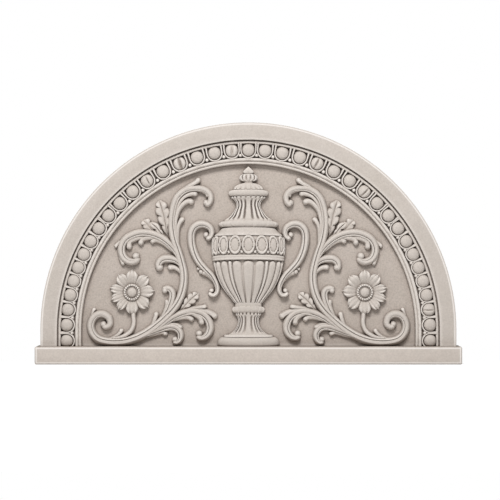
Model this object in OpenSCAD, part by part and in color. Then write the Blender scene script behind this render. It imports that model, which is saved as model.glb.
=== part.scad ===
// Pediment section: a stilted semicircular lunette panel in cast stone, with an
// egg-and-dart arch, an urn in half relief, scrolling stems and two daisy heads,
// standing on a separate plain ledge block.
// Millimetres, +Z up, front towards -Y, origin at the bottom centre of the outline box.

/* [Overall] */
// Radius of the outer edge of the arch
arch_r = 586; // [480:1:710]
// Straight height of the arch legs below the springing
leg_h = 45; // [36:1:70]
// Depth of the ledge block from back to front
ledge_d = 100; // [92:1:140]
// Height of the ledge block
ledge_h = 50; // [30:1:90]
// How far the ledge runs past the arch at each end
ledge_over = 14; // [4:1:40]

/* [Arch moulding] */
// Thickness of the panel at the flat field
field_t = 45; // [36:1:52]
// Width of the plain outer band of the arch
band_w = 46; // [36:1:56]
// How far the outer band stands in front of the field
band_rise = 30; // [20:1:36]
// Width of the channel that holds the eggs
channel_w = 41; // [40:1:50]
// How far the floor of the egg channel stands in front of the field
channel_rise = 8; // [4:1:12]
// Width of the round bead inside the outer band
bead_w = 7; // [5:1:8]
// Width of the round moulding inside the egg channel
astragal_w = 8; // [6:1:9]
// How far the round mouldings stand in front of the field
bead_rise = 21; // [16:1:26]

/* [Eggs] */
// Least average distance from egg to egg along the arch
egg_spacing = 46; // [44:0.5:60]
// Radius of each egg
egg_r = 16; // [13:0.5:17]
// Radius of the middle of the strand that wraps each egg
collar_r = 20; // [18:0.5:21]
// Width of the strand that wraps each egg
collar_w = 4; // [3:0.5:5]
// Radius of the small ball between two collars
dart_r = 5; // [4:0.5:6]

/* [Ornament] */
// How far the urn stands in front of the field at its widest
urn_rise = 46; // [30:1:47]
// How far the scroll stems stand in front of the field
stem_rise = 20; // [12:1:28]
// Half width of the main scroll stem
stem_hw = 14; // [10:0.5:17]
// Radius of each flower over its petals
flower_r = 63; // [52:1:66]
// Petals on each flower
petal_count = 9; // [8:1:10]
// Flutes around the bowl of the urn
flute_count = 16; // [12:2:20]

/* [Hidden] */

band_in_r = arch_r - band_w;
groove_w = 6;
bead_out_r = band_in_r - groove_w;
bead_in_r = bead_out_r - bead_w;
channel_in_r = bead_in_r - channel_w;
astragal_in_r = channel_in_r - astragal_w;
fillet_gap_w = 3;
fillet_w = 6;
fillet_rise = 14;
field_r = astragal_in_r - fillet_gap_w - fillet_w;
egg_line_r = bead_in_r - channel_w / 2 + 2;
last_egg_drop = 30;
egg_run = 90 * PI / 180 * egg_line_r + last_egg_drop;
egg_count = floor(egg_run / egg_spacing);
egg_pitch = egg_run / egg_line_r * 180 / PI / egg_count;
egg_drift = 2;
dart_line_r = channel_in_r + 7;
collar_rise = 8;
band_round = 6;
cut = 1;
bury = 4;
arris = 7;
// The ornament is set out on a field of this radius and follows the real one.
drawn_field_r = 469;
fit = field_r / drawn_field_r;
ledge_w = 2 * (arch_r + ledge_over);

// ---- curves -------------------------------------------------------------------

function blend(a, b, c, d, t) =
    0.5 * (2 * b + (c - a) * t + (2 * a - 5 * b + 4 * c - d) * t * t
           + (3 * b - a - 3 * c + d) * t * t * t);

function pick(list, i) = list[max(0, min(len(list) - 1, i))];

// A smooth line through a few set-out points.
function smooth(route, steps) = [
    for (i = [0 : len(route) - 2])
        for (j = [0 : steps - 1])
            blend(pick(route, i - 1), route[i], route[i + 1], pick(route, i + 2), j / steps),
    route[len(route) - 1]
];

function unit(v) = v / norm(v);

function across(line, i) =
    let (d = unit(pick(line, i + 1) - pick(line, i - 1))) [-d[1], d[0]];

// Half width along a strand, from values evenly spaced from its start to its end.
function width_at(w, t) = lookup(t * (len(w) - 1), [for (i = [0 : len(w) - 1]) [i, w[i]]]);

// Faces joining rings of points, closed at both ends.
function tube_faces(rings, n) = concat(
    [[for (k = [n - 1 : -1 : 0]) k]],
    [for (i = [0 : rings - 2]) for (k = [0 : n - 1])
        let (a = i * n + k, b = i * n + (k + 1) % n) [a, b, b + n, a + n]],
    [[for (k = [0 : n - 1]) (rings - 1) * n + k]]
);

// ---- carved strands -------------------------------------------------------------

// Half of a strand's cross section: share of the half width and share of the height.
strand_shape = [[-1, 0], [-0.65, 1], [0.65, 1], [1, 0]];
leaf_shape = [[-1, 0], [-0.8, 0.8], [0, 1], [0.8, 0.8], [1, 0]];

// A strand that follows the route in the plane of the field, +Z away from the wall.
module strand(route, widths, rise, shape, steps = 2) {
    line = smooth(route * fit, steps);
    last = len(line) - 1;
    n = len(shape);
    points = [
        for (i = [0 : last])
            let (q = across(line, i), w = width_at(widths, i / last))
                for (s = shape)
                    [line[i][0] + q[0] * w * s[0], line[i][1] + q[1] * w * s[0],
                     -bury + (rise + bury) * s[1]]
    ];
    polyhedron(points = points, faces = tube_faces(last + 1, n), convexity = 8);
}

module ball(at, r, rise) {
    translate([at[0] * fit, at[1] * fit, rise]) sphere(r = r, $fn = 32);
}

// ---- arch -----------------------------------------------------------------------

// The arch moulding in section: distance from the centre, then distance from the back.
module arch_section() {
    top = field_t + band_rise;
    polygon([
        [field_r - cut, 0],
        [arch_r, 0],
        [arch_r, top - band_round],
        [arch_r - band_round, top],
        [band_in_r, top],
        [band_in_r, field_t + channel_rise],
        [bead_out_r, field_t + channel_rise],
        [bead_out_r, field_t + bead_rise - bead_w / 3],
        [bead_out_r - bead_w / 3, field_t + bead_rise],
        [bead_in_r + bead_w / 3, field_t + bead_rise],
        [bead_in_r, field_t + bead_rise - bead_w / 3],
        [bead_in_r, field_t + channel_rise],
        [channel_in_r, field_t + channel_rise],
        [channel_in_r, field_t + bead_rise - astragal_w / 3],
        [channel_in_r - astragal_w / 3, field_t + bead_rise],
        [astragal_in_r + astragal_w / 3, field_t + bead_rise],
        [astragal_in_r, field_t + bead_rise - astragal_w / 3],
        [astragal_in_r, field_t + channel_rise],
        [field_r + fillet_w, field_t + channel_rise],
        [field_r + fillet_w, field_t + fillet_rise],
        [field_r, field_t + fillet_rise],
        [field_r, field_t - cut],
        [field_r - cut, field_t - cut]
    ]);
}

module arch_moulding() {
    translate([0, leg_h, 0]) rotate_extrude(angle = 180, $fn = 180) arch_section();
    for (side = [0, 1])
        mirror([side, 0, 0])
            translate([0, leg_h, 0]) rotate([90, 0, 0]) linear_extrude(height = leg_h)
                arch_section();
}

module flat_field() {
    intersection() {
        translate([0, leg_h, 0]) cylinder(r = field_r, h = field_t, $fn = 180);
        translate([-arch_r, leg_h, -cut]) cube([2 * arch_r, arch_r, field_t + 2 * cut]);
    }
    translate([-field_r, 0, 0]) cube([2 * field_r, leg_h, field_t]);
}

// ---- egg-and-dart -----------------------------------------------------------------

// Angle of the egg from the crown; the pitch opens a little half way down each side.
function egg_angle(k) = egg_pitch * k + sign(k) * egg_drift * (1 - cos(360 * k / egg_count));

// Place a piece on the arch line: round to the springing, then straight down the leg.
module on_arch(angle, r) {
    turn = max(-90, min(90, angle));
    drop = (abs(angle) - abs(turn)) * PI / 180 * r;
    translate([0, leg_h - drop, 0]) rotate([0, 0, -turn]) translate([0, r, 0]) children();
}

// Eggs at every place along the arch.
module each_egg() {
    for (k = [-egg_count : egg_count])
        on_arch(egg_angle(k), egg_line_r) children();
}

// The outline of an egg's strand in plan: half round, with straight sides running outwards.
module collar_plan(r) {
    circle(r = r, $fn = 48);
    translate([-r, 0]) square([2 * r, channel_w]);
}

// All the strands in plan; where eggs sit close, neighbours share one strand.
module collars_plan() {
    half = collar_w / 2;
    intersection() {
        difference() {
            each_egg() collar_plan(collar_r + half);
            each_egg() collar_plan(collar_r - half);
        }
        union() {
            translate([0, leg_h]) circle(r = bead_in_r + cut, $fn = 180);
            translate([-bead_in_r - cut, 0]) square([2 * (bead_in_r + cut), leg_h]);
        }
        translate([-arch_r, 0]) square([2 * arch_r, 2 * arch_r]);
    }
}

module egg_and_dart() {
    translate([0, 0, field_t + channel_rise]) {
        translate([0, 0, -cut]) linear_extrude(height = collar_rise + cut) collars_plan();
        // The last egg on each leg is cut off by the ledge.
        difference() {
            each_egg() sphere(r = egg_r, $fn = 48);
            translate([-arch_r, -arch_r, -arch_r]) cube([2 * arch_r, arch_r, 2 * arch_r]);
        }
        for (side = [-1, 1])
            for (k = [0 : egg_count - 1])
                on_arch(side * (egg_angle(k) + egg_angle(k + 1)) / 2, dart_line_r)
                    sphere(r = dart_r, $fn = 24);
    }
}

// ---- urn --------------------------------------------------------------------------

// Half outline of the urn: height above the ledge, half width, depth of its flutes.
urn_outline = [
    [0, 82, 0], [22, 82, 0], [26, 79, 0], [26, 69, 0], [32, 69, 0], [32, 54, 1],
    [48, 39, 2], [62, 31, 2], [76, 29, 2], [88, 34, 1], [94, 35, 0], [95, 44, 0],
    [103, 47, 0], [111, 44, 0], [112, 36, 0], [120, 36, 0], [122, 40, 2], [150, 62, 3],
    [184, 82, 4], [222, 96, 4], [238, 98, 2], [240, 101, 0], [252, 101, 0], [254, 103, 2],
    [280, 104, 3], [306, 103, 1], [309, 96, 0], [322, 86, 0], [330, 70, 0], [332, 82, 0],
    [340, 86, 0], [350, 82, 0], [352, 68, 1], [372, 48, 3], [398, 38, 3], [418, 45, 2],
    [424, 48, 0], [426, 55, 0], [433, 58, 0], [440, 55, 0], [443, 44, 0], [454, 30, 0],
    [462, 19, 0], [466, 22, 1], [476, 27, 2], [484, 22, 1], [487, 13, 0], [494, 15, 0],
    [502, 9, 0], [506, 3, 0]
];
urn_half_steps = 32;
urn_half_w = 104;

module urn() {
    flat_ratio = urn_rise / urn_half_w;
    points = [
        for (p = urn_outline)
            for (k = [0 : urn_half_steps])
                let (
                    a = k * 180 / urn_half_steps,
                    r = p[1] - p[2] * (1 + cos(flute_count * a)) / 2
                )
                    [r * cos(a) * fit, p[0] * fit, max(r * sin(a) * flat_ratio, 0) - cut / 2]
    ];
    back = [
        for (p = urn_outline) [0, p[0] * fit, -bury]
    ];
    n = urn_half_steps + 2;
    rings = [
        for (i = [0 : len(urn_outline) - 1])
            for (k = [0 : n - 1])
                k <= urn_half_steps ? points[i * (urn_half_steps + 1) + k] : back[i]
    ];
    polyhedron(points = rings, faces = tube_faces(len(urn_outline), n), convexity = 8);
}

// ---- scrolls -----------------------------------------------------------------------

// Routes on one side: distance from the middle, height above the ledge.
main_stem = [
    [400, 56], [394, 70], [409, 90], [440, 74], [440, 36], [400, 17], [336, 20],
    [276, 45], [228, 87], [192, 138], [183, 190], [200, 268], [216, 330], [212, 390],
    [186, 436], [136, 444], [107, 424], [116, 402]
];
upper_branch = [
    [188, 230], [222, 288], [278, 320], [334, 312], [360, 278], [346, 242], [316, 240],
    [312, 254]
];
middle_curl = [[190, 220], [204, 242], [232, 254], [256, 238], [252, 224]];
low_curl_1 = [[262, 55], [228, 100], [212, 148], [228, 172], [243, 166]];
low_curl_2 = [[274, 46], [257, 76], [257, 98], [265, 100]];
low_curl_3 = [
    [252, 52], [210, 82], [156, 98], [114, 84], [102, 50], [126, 22], [142, 30]
];
low_curl_4 = [[280, 34], [226, 56], [190, 44], [186, 16], [206, 8]];
flower_stem = [[326, 100], [325, 64], [342, 34], [390, 22]];
handle_line = [
    [112, 300], [96, 322], [104, 348], [130, 358], [154, 344], [163, 310], [150, 258],
    [112, 208], [88, 178], [86, 152], [104, 146]
];
leaflets = [
    [[206, 398], [188, 436], [142, 466]],
    [[198, 396], [178, 420], [144, 434]],
    [[206, 372], [190, 402], [156, 406]],
    [[206, 285], [205, 330], [184, 362]],
    [[330, 312], [376, 280]],
    [[356, 256], [350, 226]],
    [[316, 306], [337, 294], [334, 274]],
    [[284, 310], [304, 302], [304, 290]],
    [[190, 206], [228, 226]],
    [[240, 70], [229, 138]],
    [[200, 86], [150, 84], [130, 58]],
    [[220, 70], [160, 78]],
    [[160, 100], [117, 112]],
    [[136, 98], [88, 80]],
    [[270, 34], [226, 34]],
    [[390, 20], [356, 48]],
    [[441, 84], [432, 109]],
    [[97, 190], [128, 212]]
];
// Standing leaves: route, then half width at the middle.
leaves = [
    [[[222, 296], [232, 350], [248, 412]], 17],
    [[[226, 298], [246, 326], [266, 356]], 10],
    [[[232, 300], [256, 322], [286, 344]], 9],
    [[[196, 92], [168, 116], [144, 148]], 13]
];
leaflet_hw = 5.5;
leaflet_rise = 15;
curl_hw = 11;
handle_hw = 9;

module scrolls() {
    eye_r = 8;
    strand(main_stem, [8, stem_hw - 3, stem_hw, stem_hw - 2, 7], stem_rise, strand_shape, 3);
    strand(upper_branch, [10, curl_hw, 6], stem_rise - 1, strand_shape, 3);
    strand(middle_curl, [7, 7, 3], stem_rise - 2, strand_shape);
    for (route = [low_curl_1, low_curl_2, low_curl_3, low_curl_4])
        strand(route, [4, curl_hw - 1, 4], stem_rise - 2, strand_shape, 3);
    strand(flower_stem, [8, 8, 3], stem_rise - 4, strand_shape);
    strand(handle_line, [5, handle_hw, 5], stem_rise + 2, strand_shape, 3);
    for (route = leaflets)
        strand(route, [3, leaflet_hw, 4], leaflet_rise, strand_shape);
    for (leaf = leaves)
        strand(leaf[0], [5, leaf[1], 2], leaflet_rise - 2, leaf_shape);
    for (at = [[408, 62], [118, 406], [316, 256], [250, 222], [240, 160], [142, 34], [207, 14]])
        ball(at, eye_r, 6);
    for (at = [[118, 314], [102, 154]])
        ball(at, eye_r, 6);
}

// ---- flowers -------------------------------------------------------------------------

flower_at = [328, 152];
boss_r = 13;
ring_r = 20;

module flower() {
    petal_hw = flower_r * 0.26;
    for (k = [0 : petal_count - 1])
        let (a = 180 + k * 360 / petal_count, d = [cos(a), sin(a)] / fit)
            strand(
                [d * ring_r * 0.6, d * flower_r * 0.6, d * flower_r * 0.97],
                [0.3 * petal_hw, 0.6 * petal_hw, petal_hw, 0.9 * petal_hw, 0.4 * petal_hw],
                stem_rise - 1, leaf_shape
            );
    cylinder(r = ring_r + 3, h = stem_rise + 1, $fn = 48);
    translate([0, 0, stem_rise]) {
        rotate_extrude($fn = 48) translate([ring_r, 0]) circle(r = 3, $fn = 16);
        sphere(r = boss_r, $fn = 32);
    }
}

// ---- pieces ----------------------------------------------------------------------------

// Turn a piece drawn flat on its back so that it stands up with its back to the wall.
module standing() {
    translate([0, ledge_d / 2, ledge_h]) rotate([90, 0, 0]) children();
}

module lunette_panel() {
    color([0.78, 0.74, 0.70])
        standing() {
            flat_field();
            arch_moulding();
            egg_and_dart();
            translate([0, 0, field_t]) {
                urn();
                for (side = [0, 1])
                    mirror([side, 0, 0]) {
                        scrolls();
                        translate([flower_at[0] * fit, flower_at[1] * fit, 0]) flower();
                    }
            }
        }
}

module eased_block(w, h, r) {
    translate([r, 0]) square([w - 2 * r, h]);
    translate([0, r]) square([w, h - 2 * r]);
    for (x = [r, w - r])
        for (y = [r, h - r])
            translate([x, y]) circle(r = r, $fn = 48);
}

module base_ledge() {
    color([0.76, 0.72, 0.68])
        intersection() {
            translate([-ledge_w / 2, ledge_d / 2, 0]) rotate([90, 0, 0])
                linear_extrude(height = ledge_d) eased_block(ledge_w, ledge_h, arris);
            union() {
                translate([-ledge_w / 2, -ledge_d / 2, 0]) rotate([90, 0, 90])
                    linear_extrude(height = ledge_w) eased_block(ledge_d, ledge_h, arris);
                translate([-ledge_w / 2, 0, 0]) cube([ledge_w, ledge_d / 2, ledge_h]);
            }
        }
}

lunette_panel();
base_ledge();
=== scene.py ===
import math

import bmesh
import bpy
import numpy as np
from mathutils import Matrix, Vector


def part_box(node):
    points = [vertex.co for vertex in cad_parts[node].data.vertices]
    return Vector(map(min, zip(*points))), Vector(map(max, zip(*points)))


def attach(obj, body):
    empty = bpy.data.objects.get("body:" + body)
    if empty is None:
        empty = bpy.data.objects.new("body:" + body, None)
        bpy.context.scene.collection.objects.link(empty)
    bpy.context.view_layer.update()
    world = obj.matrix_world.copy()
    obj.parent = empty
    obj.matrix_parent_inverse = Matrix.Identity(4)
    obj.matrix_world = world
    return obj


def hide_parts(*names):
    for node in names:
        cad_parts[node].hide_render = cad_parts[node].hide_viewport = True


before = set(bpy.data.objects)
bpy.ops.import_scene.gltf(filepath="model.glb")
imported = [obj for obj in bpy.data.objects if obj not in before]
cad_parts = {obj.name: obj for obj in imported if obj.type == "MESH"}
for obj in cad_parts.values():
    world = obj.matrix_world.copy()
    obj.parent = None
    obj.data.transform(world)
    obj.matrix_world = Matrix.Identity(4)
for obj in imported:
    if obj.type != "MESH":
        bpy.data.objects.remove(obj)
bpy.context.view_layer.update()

# Everything is drawn in millimetres on the panel's own sheet: u from the middle of the panel,
# v up from the top of the ledge, h out from the flat back. place() turns it into the frame.
MM = 0.001
PANEL_LO, PANEL_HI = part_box("lunette_panel")
LEDGE_LO, LEDGE_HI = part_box("base_ledge")
ARCH_R = PANEL_HI.x / MM
LEG = (PANEL_HI.z - PANEL_LO.z) / MM - ARCH_R

# Heights of the field, the egg channel and the outer band.
FIELD_H = 45
CHANNEL_H = 57
BAND_H = 75
# How far a solid is sunk into the stone that it grows from.
BURY = 3

# Radii across the arch, from the outer band in to the field.
BAND_IN_R = ARCH_R - 46
BEAD_R = BAND_IN_R - 6.8
CHANNEL_OUT_R = BAND_IN_R - 13
CHANNEL_IN_R = CHANNEL_OUT_R - 41
ASTRAGAL_R = CHANNEL_IN_R - 3.5
FIELD_R = CHANNEL_IN_R - 17
# How far the mouldings spread towards the feet, and the bead draws in towards the crown.
FOOT_SHIFT = 4.0
CROWN_SHIFT = 2.2

# Eggs on each side of the crown, and how far down its leg the last one lies.
EGG_LINE_R = (CHANNEL_OUT_R + CHANNEL_IN_R) / 2 + 2
EGGS = 18
EGG_DROP = 30
EGG_DRIFT = 2.0
EGG_R = 18.5
EGG_H = CHANNEL_H + 3
EGG_SQUASH = 0.8
EGG_FULLNESS = 2.4
COLLAR_R = 21.0
COLLAR_HALF = 3.7
COLLAR_RISE = 11.5
DART_R = 5.0
DART_H = CHANNEL_H + 7


# ---- points and faces --------------------------------------------------------------------


def place(points):
    """Sheet points in millimetres as frame points in metres."""
    p = np.asarray(points, float)
    return np.column_stack([
        p[:, 0] * MM,
        PANEL_HI.y - p[:, 2] * MM,
        PANEL_LO.z + p[:, 1] * MM,
    ])


def loft(rings, closed=False):
    """A closed solid from rings of points; closed joins the last ring to the first."""
    rings = np.asarray(rings, float)
    count, n = rings.shape[:2]
    faces = []
    for i in range(count if closed else count - 1):
        a, b = i * n, (i + 1) % count * n
        for k in range(n):
            m = (k + 1) % n
            faces.append((a + k, a + m, b + m, b + k))
    if not closed:
        faces.append(tuple(range(n - 1, -1, -1)))
        faces.append(tuple((count - 1) * n + k for k in range(n)))
    return outward(rings.reshape(-1, 3), faces)


def outward(points, faces):
    """The same solid with its faces looking out."""
    volume = 0.0
    for f in faces:
        a = points[f[0]]
        for i in range(1, len(f) - 1):
            volume += np.dot(a, np.cross(points[f[i]], points[f[i + 1]]))
    if volume < 0:
        faces = [tuple(reversed(f)) for f in faces]
    return points, faces


def mirrored(part):
    """The same solid on the other side of the middle."""
    points, faces = part
    flipped = points * np.array([-1, 1, 1])
    return flipped, [tuple(reversed(f)) for f in faces]


def gather(parts):
    """Solids that don't touch each other, as one set of points and faces."""
    points, faces, base = [], [], 0
    for p, f in parts:
        points.append(p)
        faces += [tuple(i + base for i in face) for face in f]
        base += len(p)
    return np.vstack(points), faces


def arc(u, h, r, start, end, steps):
    """Points of an arc on a section, angles in degrees."""
    angles = np.radians(np.linspace(start, end, steps + 1))
    return [(u + r * math.cos(a), h + r * math.sin(a)) for a in angles]


def smooth_line(route, step):
    """A curve through a few points: its close points, the length run to each of them, and
    even stops along that length."""
    p = np.asarray(route, float)
    p = np.vstack([2 * p[0] - p[1], p, 2 * p[-1] - p[-2]])
    t = np.linspace(0, 1, 16, endpoint=False)[:, None]
    runs = []
    for a, b, c, d in zip(p[:-3], p[1:-2], p[2:-1], p[3:]):
        runs.append(0.5 * (2 * b + (c - a) * t + (2 * a - 5 * b + 4 * c - d) * t ** 2
                           + (3 * b - a - 3 * c + d) * t ** 3))
    dense = np.vstack(runs + [p[-2:-1]])
    run = np.concatenate([[0], np.cumsum(np.linalg.norm(np.diff(dense, axis=0), axis=1))])
    count = max(4, int(run[-1] / step) + 1)
    return dense, run, np.linspace(0, run[-1], count)


def spread(values, t):
    """Values evenly spaced along a line, read at t from 0 to 1."""
    values = np.atleast_1d(values)
    if len(values) == 1:
        return np.full(len(t), float(values[0]))
    return np.interp(t, np.linspace(0, 1, len(values)), values)


# ---- carved strands ----------------------------------------------------------------------

# The groove's depth as a share of the strand's height; it fades in and out over a fifth.
GROOVE = 0.26
GROOVE_FADE = 5
# What is left of the width and the height at a rounded end.
TIP_HALF = 0.12
TIP_TALL = 0.30


def section(split, depth, fine):
    """Across a strand: places from -1 to 1 and heights from 0 to 1, with a groove at split."""
    edges = [-1, 1] if split is None else [-1, split, 1]
    places, heights = [], []
    for a, b in zip(edges[:-1], edges[1:]):
        mid, half = (a + b) / 2, (b - a) / 2
        for x in np.cos(np.linspace(math.pi, 0, fine + 1)):
            if places and abs(mid + half * x - places[-1]) < 1e-6:
                continue
            places.append(mid + half * x)
            heights.append(1 - depth * (1 - math.sqrt(max(0.0, 1 - x * x))))
    places, heights = np.array(places), np.array(heights)
    heights *= np.sqrt(np.clip(1 - np.abs(places) ** 3, 0, 1))
    return places, heights


def strand(route, widths, rise, split=None, fine=6, step=4.0, ends=(True, True),
           base=FIELD_H):
    """A ridge that follows a route on the field. widths are half widths from start to end;
    split says where its groove runs across it, from start to end."""
    dense, run, stops = smooth_line(route, step)
    total = run[-1]
    shortest_cap = 2.0
    caps = [max(shortest_cap, spread(widths, np.array([t]))[0]) for t in (0.0, 1.0)]
    turn = 1 - np.cos(np.linspace(0, math.pi / 2, 5))
    extra = []
    if ends[0]:
        stops = stops[stops > caps[0]]
        extra.append(turn * caps[0])
    if ends[1]:
        stops = stops[stops < total - caps[1]]
        extra.append(total - turn * caps[1])
    stops = np.unique(np.concatenate([stops] + extra))
    line = np.column_stack([np.interp(stops, run, dense[:, k]) for k in (0, 1)])
    tangent = np.gradient(line, stops, axis=0)
    tangent /= np.linalg.norm(tangent, axis=1)[:, None]
    side = np.column_stack([-tangent[:, 1], tangent[:, 0]])
    t = stops / total
    half, tall = spread(widths, t), spread(rise, t)
    for i, s in enumerate(stops):
        near = []
        if ends[0] and s < caps[0]:
            near.append(1 - s / caps[0])
        if ends[1] and total - s < caps[1]:
            near.append(1 - (total - s) / caps[1])
        for n in near:
            shrink = math.sqrt(max(0.0, 1 - n * n))
            half[i] *= max(TIP_HALF, shrink)
            tall[i] *= max(TIP_TALL, shrink)
    deep = GROOVE * np.clip(np.minimum(GROOVE_FADE * t, GROOVE_FADE * (1 - t)), 0, 1)
    splits = [None] * len(t) if split is None else spread(split, t)
    rings = []
    for (u, v), (a, b), w, z, cleft, d in zip(line, side, half, tall, splits, deep):
        places, heights = section(cleft, d, fine)
        ring = [(u - a * w, v - b * w, base - BURY)]
        ring += [(u + a * w * s, v + b * w * s, base + z * q) for s, q in zip(places, heights)]
        ring.append((u + a * w, v + b * w, base - BURY))
        rings.append(ring)
    return loft(rings)


def dome(u, v, h, r, around=20, up=6, squash=1.0, shape=None, bury=BURY):
    """A half ball standing on height h. shape(x, y) may change the height over its plan."""
    points, faces = [], []
    for j in range(up + 1):
        a = math.pi / 2 * j / up
        ring_r = r * math.cos(a) if j < up else 0.0
        for k in range(around if j < up else 1):
            b = 2 * math.pi * k / around
            x, y = ring_r * math.cos(b), ring_r * math.sin(b)
            z = r * squash * math.sin(a)
            if shape:
                z *= shape(x / r, y / r)
            points.append((u + x, v + y, h + z))
    floor = len(points)
    for k in range(around):
        b = 2 * math.pi * k / around
        points.append((u + r * math.cos(b), v + r * math.sin(b), h - bury))
    for j in range(up - 1):
        for k in range(around):
            m = (k + 1) % around
            a = j * around
            faces.append((a + k, a + m, a + around + m, a + around + k))
    top = up * around
    for k in range(around):
        m = (k + 1) % around
        faces.append(((up - 1) * around + k, (up - 1) * around + m, top))
        faces.append((floor + m, m, k, floor + k))
    faces.append(tuple(floor + k for k in range(around))[::-1])
    points = np.array(points, float)
    return outward(points, faces)


# ---- arch --------------------------------------------------------------------------------


def arch_section():
    """The arch moulding across its width: distance from the centre, then height."""
    bead, astragal, fillet, arris = 4.4, 4.0, 3.4, 0.8
    lip = BAND_H - 11
    inner_edge = FIELD_R - 6
    out = [(inner_edge, 0), (ARCH_R, 0)]
    out += arc(ARCH_R - arris, BAND_H - arris, arris, 0, 90, 4)
    out += arc(BAND_IN_R + arris, BAND_H - arris, arris, 90, 180, 3)
    out += [(BAND_IN_R, lip), (BEAD_R + bead + 0.3, lip)]
    out += arc(BEAD_R, lip - 0.5, bead, 0, 180, 6)
    out += [(CHANNEL_OUT_R + 1, CHANNEL_H - 2), (CHANNEL_OUT_R - 7, CHANNEL_H - 2)]
    out += [(CHANNEL_IN_R + 2, CHANNEL_H), (CHANNEL_IN_R, CHANNEL_H + 1)]
    out += arc(ASTRAGAL_R, lip, astragal, 0, 150, 6)
    out += [(ASTRAGAL_R - astragal - 1.5, lip - 2)]
    out += arc(FIELD_R + 4, FIELD_H + 15, fillet, 60, 180, 5)
    out += [(FIELD_R, FIELD_H - BURY), (inner_edge, FIELD_H - BURY)]
    return out


def arch_stations(steps=132):
    """Centre and direction at each place along the arch, from one foot to the other."""
    feet = [((0, 0), (1, 0)), ((0, LEG / 2), (1, 0))]
    for a in np.radians(np.linspace(0, 180, steps + 1)):
        feet.append(((0, LEG), (math.cos(a), math.sin(a))))
    return feet + [((0, LEG / 2), (-1, 0)), ((0, 0), (-1, 0))]


def foot_shift(sideways):
    """The egg line and the mouldings inside it run a little wider towards the feet."""
    return FOOT_SHIFT * abs(sideways) ** 3


def eased_radius(r, direction):
    """A radius of the section, moved for its place along the arch."""
    if FIELD_R - 1 < r < CHANNEL_IN_R + 3:
        return r + foot_shift(direction[0]) * 0.6
    if CHANNEL_OUT_R - 9 < r < BAND_IN_R + 2:
        return r - CROWN_SHIFT * abs(direction[1])
    return r


def arch():
    outline = arch_section()
    rings = []
    for centre, d in arch_stations():
        ring = []
        for section_r, h in outline:
            r = eased_radius(section_r, d)
            ring.append((centre[0] + d[0] * r, centre[1] + d[1] * r, h))
        rings.append(ring)
    return loft(rings)


def ground_level(u, v):
    """The field is dressed by hand, so it waves a little."""
    wave = math.sin(u / 23 + 1.3 * math.sin(v / 31)) + 0.7 * math.sin(v / 17 + u / 41)
    return FIELD_H + 0.25 * wave


def uneven_field(rows=34, cols=64):
    """The sunk field, carried on under the arch moulding."""
    reach = FIELD_R + 3
    rings = []
    for v in np.linspace(-6, LEG + reach - 2, rows):
        half = math.sqrt(reach ** 2 - max(0.0, v - LEG) ** 2)
        ring = [(u, v, ground_level(u, v)) for u in np.linspace(-half, half, cols)]
        rings.append(ring + [(half, v, 0), (-half, v, 0)])
    return loft(rings)


def egg_angle(k):
    """Degrees from the crown; the pitch opens a little half way down each side."""
    run = 90 + math.degrees(EGG_DROP / EGG_LINE_R)
    drift = EGG_DRIFT * (1 - math.cos(2 * math.pi * k / EGGS))
    return run * k / EGGS + math.copysign(drift, k)


def on_arch(angle, part, r=EGG_LINE_R):
    """A solid drawn round (0, 0) with v outwards, moved to its place on the arch line."""
    turn = max(-90, min(90, angle))
    drop = math.radians(abs(angle) - abs(turn)) * EGG_LINE_R
    a = math.radians(turn)
    points, faces = part
    x, y = points[:, 0], points[:, 1] + r + foot_shift(math.sin(a))
    moved = np.column_stack([
        x * math.cos(a) + y * math.sin(a),
        y * math.cos(a) - x * math.sin(a) + LEG - drop,
        points[:, 2],
    ])
    return moved, faces


def split_mark(at, width, depth):
    """The share of an egg's height that a crack leaves at each place over its plan."""
    def shape(x, y):
        return 1 - depth * math.exp(-((x - at - 0.1 * y) / width) ** 2)
    return shape


# Eggs with a crack or a cleft, counted from the crown, left of it below zero.
MARKED_EGGS = {
    -1: split_mark(0.05, 0.23, 0.5),
    -4: split_mark(0.05, 0.24, 0.85),
    -6: split_mark(0.1, 0.10, 0.30),
    4: split_mark(-0.05, 0.15, 0.45),
    7: split_mark(0.2, 0.13, 0.40),
    16: split_mark(0.1, 0.10, 0.25),
}


def egg(k):
    """A full dome, a little squarer and shorter in its outer half; cracked ones are finer."""
    mark = MARKED_EGGS.get(k)

    def shape(x, y):
        rho = min(0.999, math.hypot(x, y))
        full = (1 - rho ** EGG_FULLNESS) ** (1 / EGG_FULLNESS) / math.sqrt(1 - rho ** 2)
        return full * (mark(x, y) if mark else 1)

    around, up = (40, 14) if mark else (24, 8)
    part = dome(0, 0, EGG_H, EGG_R, around, up, EGG_SQUASH, shape, bury=8)
    points = part[0]
    turn = np.arctan2(points[:, 1], points[:, 0])
    square = np.where(turn > 0, 1 + 0.03 * np.sin(2 * turn) ** 2, 1.0)
    points[:, :2] *= square[:, None]
    points[:, 1] *= np.where(turn > 0, 0.96, 1.0)
    return on_arch(egg_angle(k), part)


def collar(k):
    """The strand round an egg: half round below, straight sides running out to the bead."""
    pitch = math.radians(egg_angle(abs(k) + 0.5) - egg_angle(abs(k) - 0.5)) * EGG_LINE_R
    r = min(COLLAR_R, pitch / 2 - 0.6)
    reach = CHANNEL_OUT_R - EGG_LINE_R + 2
    route = [(-r - 0.5, reach), (-r - 0.3, reach / 2), (-r, 0)]
    for a in range(-160, -19, 20):
        route.append((r * math.cos(math.radians(a)), r * 1.02 * math.sin(math.radians(a))))
    route += [(r, 0), (r + 0.3, reach / 2), (r + 0.5, reach)]
    part = strand(route, [COLLAR_HALF], COLLAR_RISE, fine=5, step=5.0, ends=(False, False),
                  base=CHANNEL_H)
    return on_arch(egg_angle(k), part)


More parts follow.
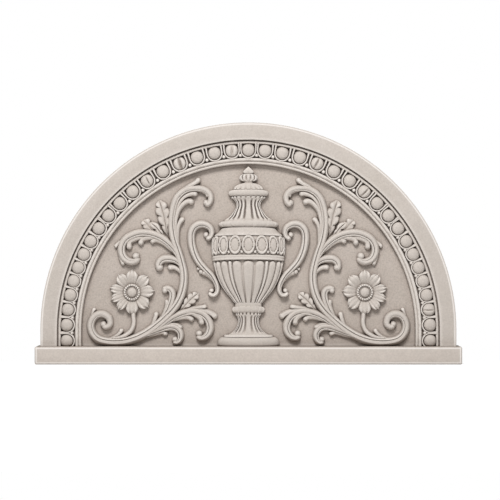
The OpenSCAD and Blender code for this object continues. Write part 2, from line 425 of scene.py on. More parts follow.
def dart(k):
    """The small ball between egg k and the next one towards the crown."""
    side = 1 if k > 0 else -1
    angle = (egg_angle(k) + egg_angle(k - side)) / 2
    return on_arch(angle, dome(0, 0, DART_H, DART_R, 14, 5, bury=10), CHANNEL_IN_R + 8)


# ---- urn ---------------------------------------------------------------------------------

# The urn's depth as a share of its width, how far it stands off the field, and how far its
# front is raised as a share of its width, which bows its rings upwards.
URN_FLAT = 0.33
URN_LIFT = 12
URN_TILT = 0.05
URN_ANGLES = 161


def groove(angle, places, half, depth):
    """How far the surface is cut back at an angle from the front by thin grooves."""
    near = min(abs(angle - p) for p in places)
    return depth * math.exp(-(near / half) ** 2)


def both_sides(angles):
    return [-a for a in angles] + list(angles)


# Where the grooves lie, in degrees from the front.
NECK_GROOVES = both_sides([14.5, 34, 54, 72])
FOOT_GROOVES = both_sides([17, 38, 56, 73])
TORUS_GROOVES = both_sides([9, 38, 62])
BALL_GROOVES = both_sides([15, 45, 75])
LID_GROOVES = both_sides([11, 33, 55, 77])
SCALLOPS = both_sides([9, 27, 46, 64, 80])
# The bowl's tongues: middle and half width in degrees. A slim one keeps its sides straight
# nearer to the rim.
TONGUES = [(0, 9.0), (20, 8.0), (32.5, 3.2), (45.5, 8.2), (64, 8.5), (81, 6.5)]
SLIM_TONGUE = 4
TONGUE_DEPTH = 5.5
TONGUE_TOP = 0.985
# The ovals on the widest band: pitch in degrees, millimetres a degree, height of the band as
# drawn, and the sizes of an oval and of the ring round it.
OVAL_PITCH = 21.8
OVAL_SCALE = 1.82
OVAL_BAND = 56
OVAL_HALF_WIDTH = 13.2
OVAL_HALF_HEIGHT = 20.5
OVAL_RING_R = 16.5
OVAL_RING_HALF = 3.1


# Each cut takes an angle from the front and t, from 0 at a zone's foot to 1 at its top, and
# gives how deep the surface is cut back there in millimetres.


def neck_cut(angle, t):
    narrow = 0.74 + 0.26 * min(1, 2 * t)
    deep = (8.5 - 2.5 * t) * min(1, 14 * t, 9 * (1 - t))
    return groove(angle / narrow, NECK_GROOVES, 3.8, deep)


def foot_cut(angle, t):
    return groove(angle, FOOT_GROOVES, 5.0, 5.5 * min(1, 6 * t, 9 * (1 - t)))


def tongue_cut(angle, t):
    """The bowl's round-topped tongues."""
    a = abs(angle)
    centre, half = min(TONGUES, key=lambda q: abs(a - q[0]) - q[1])
    start = 0.87 if half > SLIM_TONGUE else 0.94
    rise = max(0.0, t - start) / (TONGUE_TOP - start)
    edge = (abs(a - centre) / half) ** (3.2 - min(1.2, 3 * rise)) + rise ** 2
    corner = 4.0 * min(1.0, max(0.0, edge - 1) * 4) * min(1.0, 4 * rise)
    return (TONGUE_DEPTH * (1 - 0.35 * a / 90) * (1 - math.sqrt(max(0.0, 1 - edge)))
            + corner)


def oval_cut(angle, t):
    """Ovals and the rings round them, with a small ball between each two at the foot."""
    a = (angle + OVAL_PITCH / 2) % OVAL_PITCH - OVAL_PITCH / 2
    y = (t - 0.52) * OVAL_BAND
    x = a * OVAL_SCALE
    egg_edge = math.hypot(x / OVAL_HALF_WIDTH, y / OVAL_HALF_HEIGHT)
    if egg_edge < 1:
        return 4.5 * (1 - math.sqrt(1 - egg_edge ** 3))
    ring = abs(math.hypot(x, y * 0.672) - OVAL_RING_R) / OVAL_RING_HALF
    if ring < 1:
        return 5.0 - 6.0 * math.sqrt(1 - ring ** 2)
    between = abs(angle) % OVAL_PITCH - OVAL_PITCH / 2
    if math.hypot(between * OVAL_SCALE, y + 21) < 4.4:
        return 1.0
    return 5.5


def torus_cut(angle, t):
    return groove(angle, TORUS_GROOVES, 2.2, 1.2)


def ball_cut(angle, t):
    return groove(angle, BALL_GROOVES, 6.0, 5.5 * t * (1 - t) * 4)


def lid_cut(angle, t):
    return groove(angle, LID_GROOVES, 4.0, 3.0 * (1 - t))


def roll_cut(angle, t):
    """The plinth's front swells like a roll."""
    return 7 * (1 - math.sqrt(1 - abs(2 * t - 0.85) ** 3 / 1.6))


def scallop_cut(angle, t):
    return groove(angle, SCALLOPS, 3.5, 4.0)


def half_round(v0, v1, r, bulge, steps=7):
    """A torus between two levels: its body's half width, and how far it swells past it."""
    mid, half = (v0 + v1) / 2, (v1 - v0) / 2
    angles = np.linspace(-math.pi / 2, math.pi / 2, steps)
    return [(mid + half * math.sin(a), r + bulge * math.cos(a)) for a in angles]


def curve_through(points, count, crowd=1.0):
    """Levels along a smooth outline of a few (level, half width) points; above 1, crowd
    brings them closer together towards its end."""
    dense, run, _ = smooth_line(points, 1.0)
    stops = run[-1] * (1 - (1 - np.linspace(0, 1, count)) ** crowd)
    return list(zip(*(np.interp(stops, run, dense[:, k]) for k in (0, 1))))


def urn_zones():
    """From the plinth to the finial: outline points of each zone and its carving."""
    return [
        (curve_through([(0, 84), (4, 86), (12, 86.5), (19, 84), (23, 80), (25.6, 74)], 12),
         roll_cut),
        ([(26, 69), (31, 69), (32, 66)], None),
        (curve_through([(32.5, 56), (38, 47), (48, 37), (60, 31), (72, 29), (82, 31),
                        (87, 35)], 18), foot_cut),
        ([(88.5, 36), (92.5, 36)], scallop_cut),
        (half_round(94, 111.5, 38, 9), torus_cut),
        ([(112, 37), (115, 37.5), (118, 36.5), (121, 36.5)], None),
        (curve_through([(122, 39), (138, 52), (150, 63), (166, 74.5), (184, 84.5), (206, 92.5),
                        (224, 97), (238.5, 99.5)], 38, 1.6), tongue_cut),
        ([(240, 98), (241, 101.5), (245.5, 101.8), (246.5, 100.2), (247.5, 101.8),
          (252.5, 101.6), (253.5, 99.5)], None),
        (curve_through([(254, 101.5), (268, 104), (281, 104.5), (296, 103.5), (308, 100.5)],
                       40), oval_cut),
        ([(308.5, 95), (309.5, 97.5), (312, 97), (317, 90), (322, 84), (327, 79), (331, 76),
          (331.5, 70)], None),
        (half_round(334, 352, 70, 15), torus_cut),
        (curve_through([(353, 68), (357, 66), (366, 53), (378, 43), (389, 36), (398, 34),
                        (407, 36), (416, 44)], 22), neck_cut),
        ([(417, 47), (421, 49)], scallop_cut),
        ([(421.5, 42)], None),
        (half_round(423, 440, 46, 11), None),
        ([(441, 36)], None),
        (curve_through([(441.5, 42), (446, 41), (451, 37), (456, 30), (459.5, 20)], 11),
         lid_cut),
        ([(461, 11), (464, 11)], None),
        (half_round(465, 486, 12, 14, 11), ball_cut),
        ([(486.5, 9), (488, 13), (492, 15), (496, 13), (501, 8), (505, 3.0), (507, 0.8)],
         None),
    ]


def urn():
    """The half-round urn, each ring drawn from one side round the front to the other."""
    levels = []
    for outline, cut in urn_zones():
        low, high = outline[0][0], outline[-1][0]
        for v, r in outline:
            levels.append((v, r, (v - low) / max(1e-6, high - low), cut))
    angles = np.linspace(-90, 90, URN_ANGLES)
    rings = []
    for v, r, t, cut in levels:
        lean = URN_TILT * min(1, max(0, (v - 40) / 60))
        ring = []
        for a in angles:
            s, c = math.sin(math.radians(a)), math.cos(math.radians(a))
            depth = cut(a, t) * min(1.0, (90 - abs(a)) / 8) if cut else 0.0
            n = math.hypot(s * URN_FLAT, c)
            x = r * s - depth * s * URN_FLAT / n
            h = r * c * URN_FLAT - depth * c / n
            ring.append((x, v + lean * r * c, FIELD_H + URN_LIFT + h))
        ring.append((ring[-1][0], v, FIELD_H - BURY))
        ring.insert(0, (ring[0][0], v, FIELD_H - BURY))
        rings.append(ring)
    return loft(rings)


# ---- scrolls -----------------------------------------------------------------------------

# Where a strand's groove runs across it: -1 is its right edge and 1 its left, looking ahead.
CLOCKWISE, ANTICLOCKWISE = [-0.3], [0.3]
STEM_RISE = 20
# Right-hand strands: a listed route, then half widths, height and groove.
STRANDS = [
    # main stem, from the eye of the low volute up to the eye of the top curl
    ([(412, 62), (403, 54), (391, 62), (395, 80), (410, 90), (428, 88), (441, 75), (446, 56),
      (440, 35), (424, 19), (398, 12), (366, 11), (336, 16), (305, 28), (277, 45), (252, 65),
      (229, 86), (209, 109), (193, 137), (184, 170), (183, 205), (190, 238), (199, 267),
      (210, 298), (216, 328), (217, 357), (213, 387), (204, 415), (188, 434), (166, 444),
      (138, 445), (118, 438), (107, 424), (108, 409), (115, 401), (124, 403)],
     [9, 11.5, 12.5, 13.5, 13, 13, 12.5, 12, 11.5, 10.5, 8.5], STEM_RISE,
     [-0.35, -0.35, -0.35, -0.2, 0.1, 0.3, 0.35, 0.35]),
    # branch over the flower
    ([(190, 230), (204, 264), (224, 289), (250, 308), (279, 318), (309, 319), (335, 310),
      (351, 297), (359, 277), (357, 259), (348, 245), (332, 238), (318, 241), (311, 253)],
     [6, 10.5, 12.5, 12.5, 12.5, 12, 10], STEM_RISE - 1, CLOCKWISE),
    # claws along the stem, from the middle down to the ledge
    ([(188, 222), (197, 236), (209, 244), (223, 247), (240, 246), (252, 236), (254, 222),
      (247, 216)], [6, 10.5, 12.5, 11.5, 8.5], STEM_RISE - 2, CLOCKWISE),
    ([(262, 52), (242, 76), (227, 101), (217, 126), (214, 146), (220, 159), (233, 163),
      (241, 155)], [5, 10, 12, 11, 8], STEM_RISE - 3, CLOCKWISE),
    ([(286, 38), (272, 56), (264, 76), (259, 97)], [3, 7, 7.5, 8], STEM_RISE - 5, None),
    ([(262, 44), (240, 60), (211, 81), (183, 93), (157, 97), (136, 93), (119, 81), (110, 65),
      (108, 48), (114, 33), (125, 24), (137, 23), (145, 31)],
     [5, 9.5, 12, 13, 12.5, 11.5, 8.5], STEM_RISE - 1, ANTICLOCKWISE),
    ([(300, 26), (271, 38), (246, 48), (225, 54), (207, 52), (195, 42), (191, 29), (195, 16),
      (204, 10), (213, 15)], [4, 8.5, 11.5, 11.5, 10, 7.5], STEM_RISE - 1, ANTICLOCKWISE),
    # flower stem
    ([(326, 100), (325, 82), (324, 64), (330, 46), (343, 33), (362, 25), (386, 22)],
     [7, 7.5, 7.5, 4], STEM_RISE - 4, None),
    # urn handle
    ([(121, 307), (113, 305), (106, 310), (103, 321), (107, 333), (117, 341), (131, 345),
      (146, 341), (157, 330), (162, 312), (160, 286), (152, 260), (140, 238), (123, 219),
      (104, 200), (92, 180), (87, 162), (90, 150), (97, 144), (106, 145), (111, 153)],
     [8, 9.5, 11.5, 12, 12, 11.5, 10, 9, 7.5, 6], STEM_RISE + 2,
     [-0.35, -0.35, -0.3, 0, 0.3, 0.35]),
]
# Slim leaflets that end in a small bulb: route from the root, half width, height.
LEAFLETS = [
    ([(214, 330), (213, 362), (206, 396), (193, 428), (172, 449), (152, 460), (136, 474)], 6.0, 17),
    ([(208, 340), (205, 372), (196, 402), (180, 422), (158, 431), (143, 428)], 6.0, 16),
    ([(196, 262), (203, 300), (206, 340), (201, 376), (186, 400), (168, 410), (155, 402)],
     6.5, 17),
    ([(188, 222), (198, 262), (201, 300), (199, 336), (191, 354), (181, 361)], 6.0, 15),
    ([(330, 308), (352, 300), (368, 290), (378, 278)], 5.0, 12),
    ([(364, 274), (362, 250), (352, 228)], 5.0, 12),
    ([(290, 306), (316, 304), (336, 294), (337, 272)], 7.5, 15),
    ([(256, 302), (280, 306), (300, 301), (306, 284)], 7.0, 15),
    ([(216, 268), (238, 289), (260, 299), (278, 294)], 6.0, 14),
    ([(186, 196), (194, 212), (209, 222), (229, 222)], 6.5, 15),
    ([(250, 72), (238, 94), (231, 114), (230, 132)], 5.5, 14),
    ([(206, 88), (182, 94), (160, 92), (142, 84), (133, 73), (132, 58)], 7.5, 17),
    ([(232, 64), (208, 75), (184, 81), (166, 80), (156, 70)], 6.5, 15),
    ([(190, 98), (160, 106), (138, 109), (117, 112)], 5.5, 14),
    ([(150, 102), (130, 100), (108, 93), (88, 80)], 7.5, 16),
    ([(290, 24), (264, 33), (243, 38), (228, 32)], 5.5, 13),
    ([(246, 53), (222, 62), (203, 60), (186, 50)], 5.0, 15),
    ([(396, 20), (378, 26), (364, 36), (356, 49)], 5.0, 12),
    ([(444, 72), (441, 92), (434, 108)], 4.5, 11),
    ([(96, 180), (108, 196), (120, 205), (133, 209)], 6.5, 16),
    ([(124, 212), (135, 219), (147, 217)], 4.0, 10),
    ([(404, 82), (396, 88), (388, 78), (392, 66)], 4.5, 16),
    ([(132, 436), (120, 432), (114, 420)], 4.5, 16),
]
# Standing leaves: base, tip, half width, lobes on each side, bend to one side, height.
LEAVES = [
    ((230, 312), (252, 412), 21, 4, 3, 16),
    ((264, 314), (298, 356), 16, 3, 2, 10),
    ((238, 308), (277, 350), 11, 2, 2, 14),
    ((193, 97), (142, 149), 16, 4, -3, 13),
]
# Balls at the eyes of the curls: place and radius.
EYES = [
    (409, 61, 9.5), (119, 405, 9), (318, 254, 10.5), (250, 222, 9.5), (236, 157, 8.5),
    (139, 35, 9.5), (207, 18, 9), (119, 314, 8.5), (104, 156, 7.5), (133, 210, 7.5),
]


def leaflet(route, half, rise):
    """A slim strand that thickens towards its end."""
    widths = [half * 0.5, half * 1.0, half * 1.15, half * 1.25, half * 1.4]
    return strand(route, widths, [rise * 0.9, rise, rise, rise * 1.2], ends=(False, True))


def standing_leaf(base, tip, half, lobes, bend, rise):
    """A leaf blade with a notched edge, a sunk middle line and one swell a lobe."""
    base, tip = np.array(base, float), np.array(tip, float)
    along = tip - base
    ahead = along / np.linalg.norm(along)
    across = np.array([-ahead[1], ahead[0]])
    rows, cols = 14 * lobes + 8, 14
    rings = []
    for j in range(rows + 1):
        t = j / rows
        swell = max(0.03, math.sin(math.pi * t ** 1.2)) ** 0.6
        ring = []
        for i in range(cols + 1):
            s = -1 + 2 * i / cols
            lobe = abs(math.sin(math.pi * (lobes * t + (0.3 if s > 0 else 0))))
            wide = half * swell * (0.58 + 0.42 * math.sqrt(lobe))
            spot = base + along * t + across * (s * wide + bend * math.sin(math.pi * t))
            spot = spot + ahead * (0.45 * half * abs(s) * swell)
            tall = 0.4 + 0.6 * math.sqrt(max(0.0, 1 - s ** 6))
            tall *= 1 - 0.35 * (1 - lobe) * abs(s)
            tall *= 1 - 0.3 * math.exp(-(s / 0.16) ** 2)
            ring.append((*spot, FIELD_H + rise * tall * min(1, swell * 1.3)))
        ring.append((*ring[-1][:2], FIELD_H - BURY))
        ring.insert(0, (*ring[0][:2], FIELD_H - BURY))
        rings.append(ring)
    return loft(rings)


# ---- flowers -----------------------------------------------------------------------------

FLOWER = (329, 152)
FLOWER_R = 65.5
# Degrees clockwise from straight up.
PETALS = [180, 140, 109, 78, 38, 0, -44, -86, -133]
PETAL_ROOT = 14.0
PETAL_HALF = 20.0
SHOULDER = 0.72
BOSS_R = 14.4
BEAD_RING_R = 20
BEADS = 20


def petal(angle):
    """One petal from under the boss to a three-lobed tip, fluted and cupped; where petals
    crowd together they are narrower."""
    gaps = [abs((angle - other + 180) % 360 - 180) for other in PETALS if other != angle]
    half = min(PETAL_HALF, 56 * math.tan(math.radians(min(gaps) / 2)))
    rows, cols = 12, 16
    rings = []
    for j in range(rows + 1):
        t = j / rows
        wide = half * (0.36 + 0.64 * math.sin(min(1.0, t / SHOULDER) * math.pi / 2))
        wide *= math.sqrt(max(0.02, 1 - max(0.0, (t - SHOULDER) / 0.285) ** 2.5))
        cup = 6 + 16 * math.sin(t * math.pi * 0.58)
        ring = []
        for i in range(cols + 1):
            s = -1 + 2 * i / cols
            tip = FLOWER_R * (1 - 0.13 * s * s - 0.055 * (1 - math.cos(3 * math.pi * s)) / 2)
            far = PETAL_ROOT + (tip - PETAL_ROOT) * t
            flute = 0.84 + 0.16 * abs(math.cos(1.5 * math.pi * s))
            edge = math.sqrt(max(0.0, 1 - abs(s) ** 6)) * math.sqrt(max(0.0, 1 - t ** 9))
            h = FIELD_H + max(0.5, cup * flute * (0.45 + 0.55 * edge) * (0.4 + 0.6 * edge))
            ring.append((s * wide, far, h))
        ring.append((wide, ring[-1][1], FIELD_H - BURY))
        ring.insert(0, (-wide, ring[0][1], FIELD_H - BURY))
        rings.append(ring)
    points, faces = loft(rings)
    a = math.radians(angle)
    x, y = points[:, 0].copy(), points[:, 1].copy()
    points[:, 0] = x * math.cos(a) + y * math.sin(a) + FLOWER[0]
    points[:, 1] = y * math.cos(a) - x * math.sin(a) + FLOWER[1]
    return points, faces


def ring_band(u, v, r, half, h, rise):
    """A half-round ring lying on the flower."""
    rings, steps, foot = [], 48, h - 6
    for k in range(steps):
        b = 2 * math.pi * k / steps
        ring = [(r - half, foot)] + arc(r, h, half, 180, 0, 6) + [(r + half, foot)]
        rings.append([(u + q * math.cos(b), v + q * math.sin(b), h + (z - h) * rise / half)
                      for q, z in ring])
    return loft(rings, closed=True)


def flower():
    """Petals round a beaded boss."""
    parts = [petal(angle) for angle in PETALS[::2] + PETALS[1::2]]
    u, v = FLOWER
    parts.append(dome(u, v, FIELD_H + 9, 25.5, 48, 6, 0.28, bury=12))
    parts.append(ring_band(u, v, 19.8, 3.6, FIELD_H + 13.5, 1.0))
    parts.append(dome(u, v, FIELD_H + 13, BOSS_R, 32, 8, 0.75))
    beads = []
    for k in range(BEADS):
        b = 2 * math.pi * k / BEADS
        bead_u, bead_v = u + BEAD_RING_R * math.cos(b), v + BEAD_RING_R * math.sin(b)
        beads.append(dome(bead_u, bead_v, FIELD_H + 15, 3.3, 10, 3, 1.6))
    parts.append(gather(beads))
    return parts


# ---- joining -----------------------------------------------------------------------------


def to_object(name, part):
    points, faces = part
    mesh = bpy.data.meshes.new(name)
    mesh.from_pydata(place(points).tolist(), [], faces)
    mesh.update()
    obj = bpy.data.objects.new(name, mesh)
    bpy.context.scene.collection.objects.link(obj)
    return obj


def combine(a, b, operation):
    """a joined with b or cut by it, as one solid."""
    step = a.modifiers.new("combine", "BOOLEAN")
    step.operation = operation
    step.solver = "MANIFOLD"
    step.object = b
    graph = bpy.context.evaluated_depsgraph_get()
    mesh = bpy.data.meshes.new_from_object(a.evaluated_get(graph))
    old = [a.data, b.data]
    a.modifiers.clear()
    a.data = mesh
    bpy.data.objects.remove(b)
    for m in old:
        if m.users == 0:
            bpy.data.meshes.remove(m)
    return a


def unite(objects):
    """All the solids as one, joined in pairs so that each step stays small."""
    while len(objects) > 1:
        pairs = []
        for i in range(0, len(objects) - 1, 2):
            pairs.append(combine(objects[i], objects[i + 1], "UNION"))
        if len(objects) % 2:
            pairs.append(objects[-1])
        objects = pairs
    return objects[0]


def without_crumbs(obj, fewest=20):
    """Drops slivers left inside the stone where solids meet."""
    bm = bmesh.new()
    bm.from_mesh(obj.data)
    seen, crumbs = set(), []
    for start in bm.verts:
        if start in seen:
            continue
        island, queue = [], [start]
        seen.add(start)
        while queue:
            v = queue.pop()
            island.append(v)
            for e in v.link_edges:
                other = e.other_vert(v)
                if other not in seen:
                    seen.add(other)
                    queue.append(other)
        if len(island) < fewest:
            crumbs += island
    bmesh.ops.delete(bm, geom=crumbs, context="VERTS")
    bm.to_mesh(obj.data)
    bm.free()
    return obj


def half_ornament():
    """Everything carved to the right of the urn, with its handle."""
    parts = [strand(*line) for line in STRANDS]
    parts += [leaflet(*line) for line in LEAFLETS]
    parts += [standing_leaf(*leaf) for leaf in LEAVES]
    parts += [dome(u, v, FIELD_H + 5, r, 18, 6, 1.5, bury=8) for u, v, r in EYES]
    parts += flower()
    return parts


def panel_solid():
    """The whole panel as one solid, cut off flat where it stands on the ledge."""
    numbers = range(-EGGS, EGGS + 1)
    parts = [arch(), uneven_field(), urn()]
    parts.append(gather([egg(k) for k in numbers]))
    parts.append(gather([collar(k) for k in numbers if k % 2]))
    parts.append(gather([collar(k) for k in numbers if k % 2 == 0]))
    parts.append(gather([dart(k) for k in numbers if k]))
    half = half_ornament()
    right = unite([to_object("right", p) for p in half])
    left = unite([to_object("left", mirrored(p)) for p in half])
    whole = unite([to_object("body", p) for p in parts] + [right, left])
    side, drop = ARCH_R + 20, 60.0
    corners = ((-side, -drop), (side, -drop), (side, 0), (-side, 0))
    below = loft([[(u, v, h) for u, v in corners] for h in (-20, 200)])
    return without_crumbs(combine(whole, to_object("below", below), "DIFFERENCE"))


def soft_shade(obj, angle):
    """Smooth, with sharp edges kept where faces meet at more than an angle in degrees."""
    obj.data.shade_smooth()
    obj.data.set_sharp_from_angle(angle=math.radians(angle))


def ledge_solid():
    """The plain block, its front arrises rounded."""
    arris = 4 * MM
    size = LEDGE_HI - LEDGE_LO
    bm = bmesh.new()
    bmesh.ops.create_cube(bm, size=1.0)
    for v in bm.verts:
        for k in range(3):
            v.co[k] = LEDGE_LO[k] + (v.co[k] + 0.5) * size[k]
    front = [e for e in bm.edges if min(v.co.y for v in e.verts) < LEDGE_LO.y + MM]
    bmesh.ops.bevel(bm, geom=front, offset=arris, segments=4, profile=0.5, affect="EDGES")
    mesh = bpy.data.meshes.new("base_ledge_visual")
    bm.to_mesh(mesh)
    bm.free()
    obj = bpy.data.objects.new("base_ledge_visual", mesh)
    bpy.context.scene.collection.objects.link(obj)
    return obj


# ---- stone -------------------------------------------------------------------------------


def noise(tree, coords, scale, detail, rough=0.5):
    n = tree.nodes.new("ShaderNodeTexNoise")
    n.inputs["Scale"].default_value = scale
    n.inputs["Detail"].default_value = detail
    n.inputs["Roughness"].default_value = rough
    tree.links.new(coords, n.inputs["Vector"])
    return n.outputs["Fac"]


def remap(tree, value, low, high, to_low, to_high):
    n = tree.nodes.new("ShaderNodeMapRange")
    for name, v in (("From Min", low), ("From Max", high), ("To Min", to_low),
                    ("To Max", to_high)):
        n.inputs[name].default_value = v
    tree.links.new(value, n.inputs["Value"])
    return n.outputs["Result"]


def mix_colour(tree, factor, first, second, blend="MIX"):
    n = tree.nodes.new("ShaderNodeMix")
    n.data_type = "RGBA"
    n.blend_type = blend
    for socket, value in ((n.inputs["Factor"], factor), (n.inputs["A"], first),
                          (n.inputs["B"], second)):
        if isinstance(value, bpy.types.NodeSocket):
            tree.links.new(value, socket)
        elif isinstance(value, tuple):
            socket.default_value = (*value, 1.0)
        else:
            socket.default_value = value
    return n.outputs["Result"]


def rgb(r, g, b):
    """A colour from its 0 to 255 values as seen on a screen."""
    def linear(c):
        c /= 255
        return c / 12.92 if c <= 0.04045 else ((c + 0.055) / 1.055) ** 2.4
    return tuple(linear(c) for c in (r, g, b))


# Each stone's body, pale and dark shades, then how much dirt and painted shade its hollows hold.
PANEL_STONE = (rgb(200, 191, 182), rgb(206, 197, 189), rgb(190, 180, 171), 1.0)
LEDGE_STONE = (rgb(205, 195, 186), rgb(210, 200, 191), rgb(197, 186, 177), 0.5)
# Dirt with painted shade for the hollows, a painted shade line and a painted highlight along the
# outer arris, crests painted pale as wear and highlight, and the painted shade of the low ground.
SOIL_AND_SHADE = rgb(66, 43, 27)
EDGE_SHADE = rgb(130, 116, 104)
RIM_HIGHLIGHT = rgb(246, 242, 238)
CREST_WEAR_AND_HIGHLIGHT = rgb(246, 239, 232)
GROUND_PAINTED_SHADE = (0.90, 0.875, 0.86)
# Millimetres above the field where its painted shade has faded out.
GROUND_FADE = 16
# The painted highlight line along the outer arris: how far in, its half width and its strength.
RIM_INSET, RIM_WIDTH, RIM_SHARE = 4.6, 2.2, 0.8
# The painted shade line on the outer arris itself: its width and its strength.
EDGE_WIDTH, EDGE_SHARE = 2.6, 0.7
# Crests painted pale as wear and painted highlight: reach of the inside occlusion in millimetres,
# and strength.
CREST_REACH, CREST_SHARE = 11, 0.75
# Dirt and painted shade in hollows: reach in millimetres, occlusion from least to most, share of
# the full darkening.
HOLLOWS = [(7, 0.12, 0.78, 1.0), (32, 0.30, 0.90, 0.23)]
OCCLUSION_SAMPLES = 8


def calc(tree, operation, first, second):
    n = tree.nodes.new("ShaderNodeMath")
    n.operation = operation
    for socket, value in zip(n.inputs, (first, second)):
        if isinstance(value, bpy.types.NodeSocket):
            tree.links.new(value, socket)
        else:
            socket.default_value = value
    return n.outputs[0]


def near_edge(tree, distance, width, most):
    """Full strength where a distance in metres is nought, fading out over a width."""
    return remap(tree, distance, 0, width * MM, most, 0.0)


def arch_inset(tree, split):
    """How far in from the arch's outer face a point lies; the straight legs continue it."""
    rise = calc(tree, "MAXIMUM", calc(tree, "SUBTRACT", split.outputs["Z"],
                                      PANEL_LO.z + LEG * MM), 0)
    squares = [calc(tree, "MULTIPLY", side, side) for side in (split.outputs["X"], rise)]
    out = calc(tree, "SQRT", calc(tree, "ADD", *squares), 0)
    return calc(tree, "SUBTRACT", ARCH_R * MM, out)


def ledge_inset(tree, split):
    """How far in from the ledge's nearest long edge or end a point lies."""
    ends = calc(tree, "SUBTRACT", LEDGE_HI.x, calc(tree, "ABSOLUTE", split.outputs["X"], 0))
    top = calc(tree, "SUBTRACT", LEDGE_HI.z, split.outputs["Z"])
    foot = calc(tree, "SUBTRACT", split.outputs["Z"], LEDGE_LO.z)
    return calc(tree, "MINIMUM", ends, calc(tree, "MINIMUM", top, foot))


def ground_painted_shade(tree, coords, split, colour):
    """The low ground with painted shade, a little darker, and pitted, fading out up the relief."""
    low, high = (PANEL_HI.y - h * MM for h in (FIELD_H, FIELD_H + GROUND_FADE))
    ground = remap(tree, split.outputs["Y"], high, low, 0.0, 1.0)
    # Painted shade on the low ground.
    colour = mix_colour(tree, ground, colour, GROUND_PAINTED_SHADE, "MULTIPLY")
    pits = remap(tree, noise(tree, coords, 240, 2), 0.34, 0.52, 0.88, 1.02)
    return mix_colour(tree, ground, colour, mix_colour(tree, 1.0, colour, pits, "MULTIPLY"))


def rim_highlight_and_shade(tree, edge, colour):
    """A painted highlight line just inside the outer arris, and a painted shade line on the edge
    outside it.
    """
    line = calc(tree, "ABSOLUTE", calc(tree, "SUBTRACT", edge, RIM_INSET * MM), 0)
    # Painted highlight line just inside the outer arris.
    colour = mix_colour(tree, near_edge(tree, line, RIM_WIDTH, RIM_SHARE), colour, RIM_HIGHLIGHT)
    # Painted shade on the outermost edge.
    return mix_colour(tree, near_edge(tree, edge, EDGE_WIDTH, EDGE_SHARE), colour, EDGE_SHADE)


def occlusion(tree, reach, inside=False):
    n = tree.nodes.new("ShaderNodeAmbientOcclusion")
    n.samples = OCCLUSION_SAMPLES
    n.inside = inside
    n.inputs["Distance"].default_value = reach * MM
    return n.outputs["AO"]


def relief_wear_and_shading(tree, colour, dirt_and_shade):
    """Crests painted pale, as wear and painted highlight, and dirt with painted shade in the
    hollows.
    """
    # Convex crests painted pale: wear and painted highlight.
    crest = remap(tree, occlusion(tree, CREST_REACH, inside=True), 0.30, 0.95, CREST_SHARE, 0.0)
    colour = mix_colour(tree, crest, colour, CREST_WEAR_AND_HIGHLIGHT)
    # Dirt and painted shade darken the hollows, by occlusion.
    for reach, least, most, share in HOLLOWS:
        depth = remap(tree, occlusion(tree, reach), least, most, dirt_and_shade * share, 0.0)
        colour = mix_colour(tree, depth, colour, SOIL_AND_SHADE)
    return colour


def stone(name, body, pale, dark, dirt_and_shade, inset):
    """Cast stone: mottled body, grain, dirt and painted shade in hollows, painted shade on the low
    ground, crests painted pale as wear and highlight. inset(tree, split) is the distance in from
    the outer arris, along which a highlight line is painted."""
    mat = bpy.data.materials.new(name)
    mat.use_nodes = True
    tree = mat.node_tree
    surface = tree.nodes["Principled BSDF"]
    coords = tree.nodes.new("ShaderNodeTexCoord").outputs["Object"]
    blotch = remap(tree, noise(tree, coords, 9, 5, 0.6), 0.3, 0.7, 0, 1)
    cloud = remap(tree, noise(tree, coords, 45, 4, 0.6), 0.3, 0.7, 0, 1)
    grain = noise(tree, coords, 230, 4, 0.75)
    colour = mix_colour(tree, blotch, body, pale)
    colour = mix_colour(tree, remap(tree, cloud, 0, 1, 0, 0.35), colour, dark)
    speck = remap(tree, grain, 0.35, 0.65, 0.91, 1.06)
    colour = mix_colour(tree, 1.0, colour, speck, "MULTIPLY")
    split = tree.nodes.new("ShaderNodeSeparateXYZ")
    tree.links.new(coords, split.inputs[0])
    colour = ground_painted_shade(tree, coords, split, colour)
    # Darker towards the bottom.
    lower_darker = remap(tree, split.outputs["Z"], 0.05, 0.65, 0.93, 1.0)
    colour = mix_colour(tree, 1.0, colour, lower_darker, "MULTIPLY")
    colour = rim_highlight_and_shade(tree, inset(tree, split), colour)
    colour = relief_wear_and_shading(tree, colour, dirt_and_shade)
    tree.links.new(colour, surface.inputs["Base Color"])
    tree.links.new(remap(tree, cloud, 0, 1, 0.72, 0.86), surface.inputs["Roughness"])
    surface.inputs["Specular IOR Level"].default_value = 0.3
    bump = tree.nodes.new("ShaderNodeBump")
    bump.inputs["Strength"].default_value = 0.35
    bump.inputs["Distance"].default_value = 0.7 * MM
    tree.links.new(calc(tree, "ADD", grain, cloud), bump.inputs["Height"])
    tree.links.new(bump.outputs["Normal"], surface.inputs["Normal"])
    return mat


# ---- pieces ------------------------------------------------------------------------------

panel = panel_solid()
panel.name = "panel_visual"
soft_shade(panel, angle=38)
panel.data.materials.clear()
panel.data.materials.append(stone("panel_stone", *PANEL_STONE, arch_inset))
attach(panel, "root")
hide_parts("lunette_panel")

ledge = ledge_solid()
soft_shade(ledge, angle=30)
ledge.data.materials.append(stone("ledge_stone", *LEDGE_STONE, ledge_inset))
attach(ledge, "root")
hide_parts("base_ledge")


# ---- stage -------------------------------------------------------------------------------


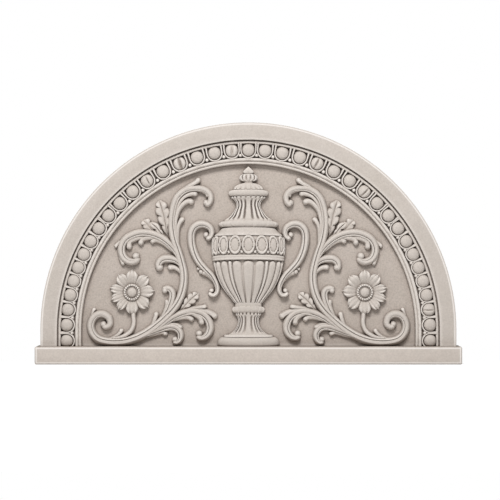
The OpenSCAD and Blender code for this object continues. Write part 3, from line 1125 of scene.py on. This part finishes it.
def build_stage():
    """A pale floor that ends just behind the object, so that the backdrop is plain white."""
    depth, half_width, behind = 3.0, 4.0, 0.02
    mesh = bpy.data.meshes.new("floor")
    back = PANEL_HI.y + behind
    front = back - depth
    corners = [(-half_width, front, 0), (half_width, front, 0), (half_width, back, 0),
               (-half_width, back, 0)]
    mesh.from_pydata(corners, [], [(0, 1, 2, 3)])
    floor = bpy.data.objects.new("floor", mesh)
    bpy.context.scene.collection.objects.link(floor)
    mat = bpy.data.materials.new("floor_paint")
    mat.use_nodes = True
    tree = mat.node_tree
    surface = tree.nodes["Principled BSDF"]
    surface.inputs["Base Color"].default_value = (0.80, 0.80, 0.80, 1)
    surface.inputs["Roughness"].default_value = 0.9
    surface.inputs["Specular IOR Level"].default_value = 0.0
    surface.inputs["Emission Color"].default_value = (1, 1, 1, 1)
    path = tree.nodes.new("ShaderNodeLightPath")
    glow = remap(tree, path.outputs["Is Camera Ray"], 0, 1, 0, 0.6)
    tree.links.new(glow, surface.inputs["Emission Strength"])
    mesh.materials.append(mat)


def aim(obj, target):
    direction = target - obj.location
    obj.rotation_euler = direction.to_track_quat("-Z", "Y").to_euler()


def area_light(name, place_at, size, power, target):
    data = bpy.data.lights.new(name, "AREA")
    data.shape = "RECTANGLE"
    data.size, data.size_y = size
    data.energy = power
    obj = bpy.data.objects.new(name, data)
    obj.location = place_at
    bpy.context.scene.collection.objects.link(obj)
    aim(obj, target)


def build_lights():
    centre = (PANEL_LO + PANEL_HI) / 2
    key_watts, front_watts, sky = 300, 6, 0.22
    area_light("key", (-0.5, -4.3, 4.3), (2.4, 1.6), key_watts, centre)
    area_light("front", (0.2, -4.5, 1.0), (3.0, 3.0), front_watts, centre)
    world = bpy.data.worlds.new("studio")
    bpy.context.scene.world = world
    world.use_nodes = True
    tree = world.node_tree
    background = tree.nodes["Background"]
    path = tree.nodes.new("ShaderNodeLightPath")
    strength = remap(tree, path.outputs["Is Camera Ray"], 0, 1, sky, 1.0)
    background.inputs["Color"].default_value = (1, 1, 1, 1)
    tree.links.new(strength, background.inputs["Strength"])


def build_camera():
    """A long lens from the front, at the height of the middle of the picture."""
    data = bpy.data.cameras.new("camera")
    camera = bpy.data.objects.new("camera", data)
    away, picture_width = 6.0, 1.4085
    sideways, height = 0.0045, 0.3215
    front = PANEL_HI.y - BAND_H * MM
    camera.location = (sideways, front - away, height)
    camera.rotation_euler = (math.pi / 2, 0, 0)
    data.lens = data.sensor_width * away / picture_width
    data.clip_end = 50
    bpy.context.scene.collection.objects.link(camera)
    bpy.context.scene.camera = camera


build_stage()
build_lights()
build_camera()
bpy.context.scene.view_settings.view_transform = "Standard"
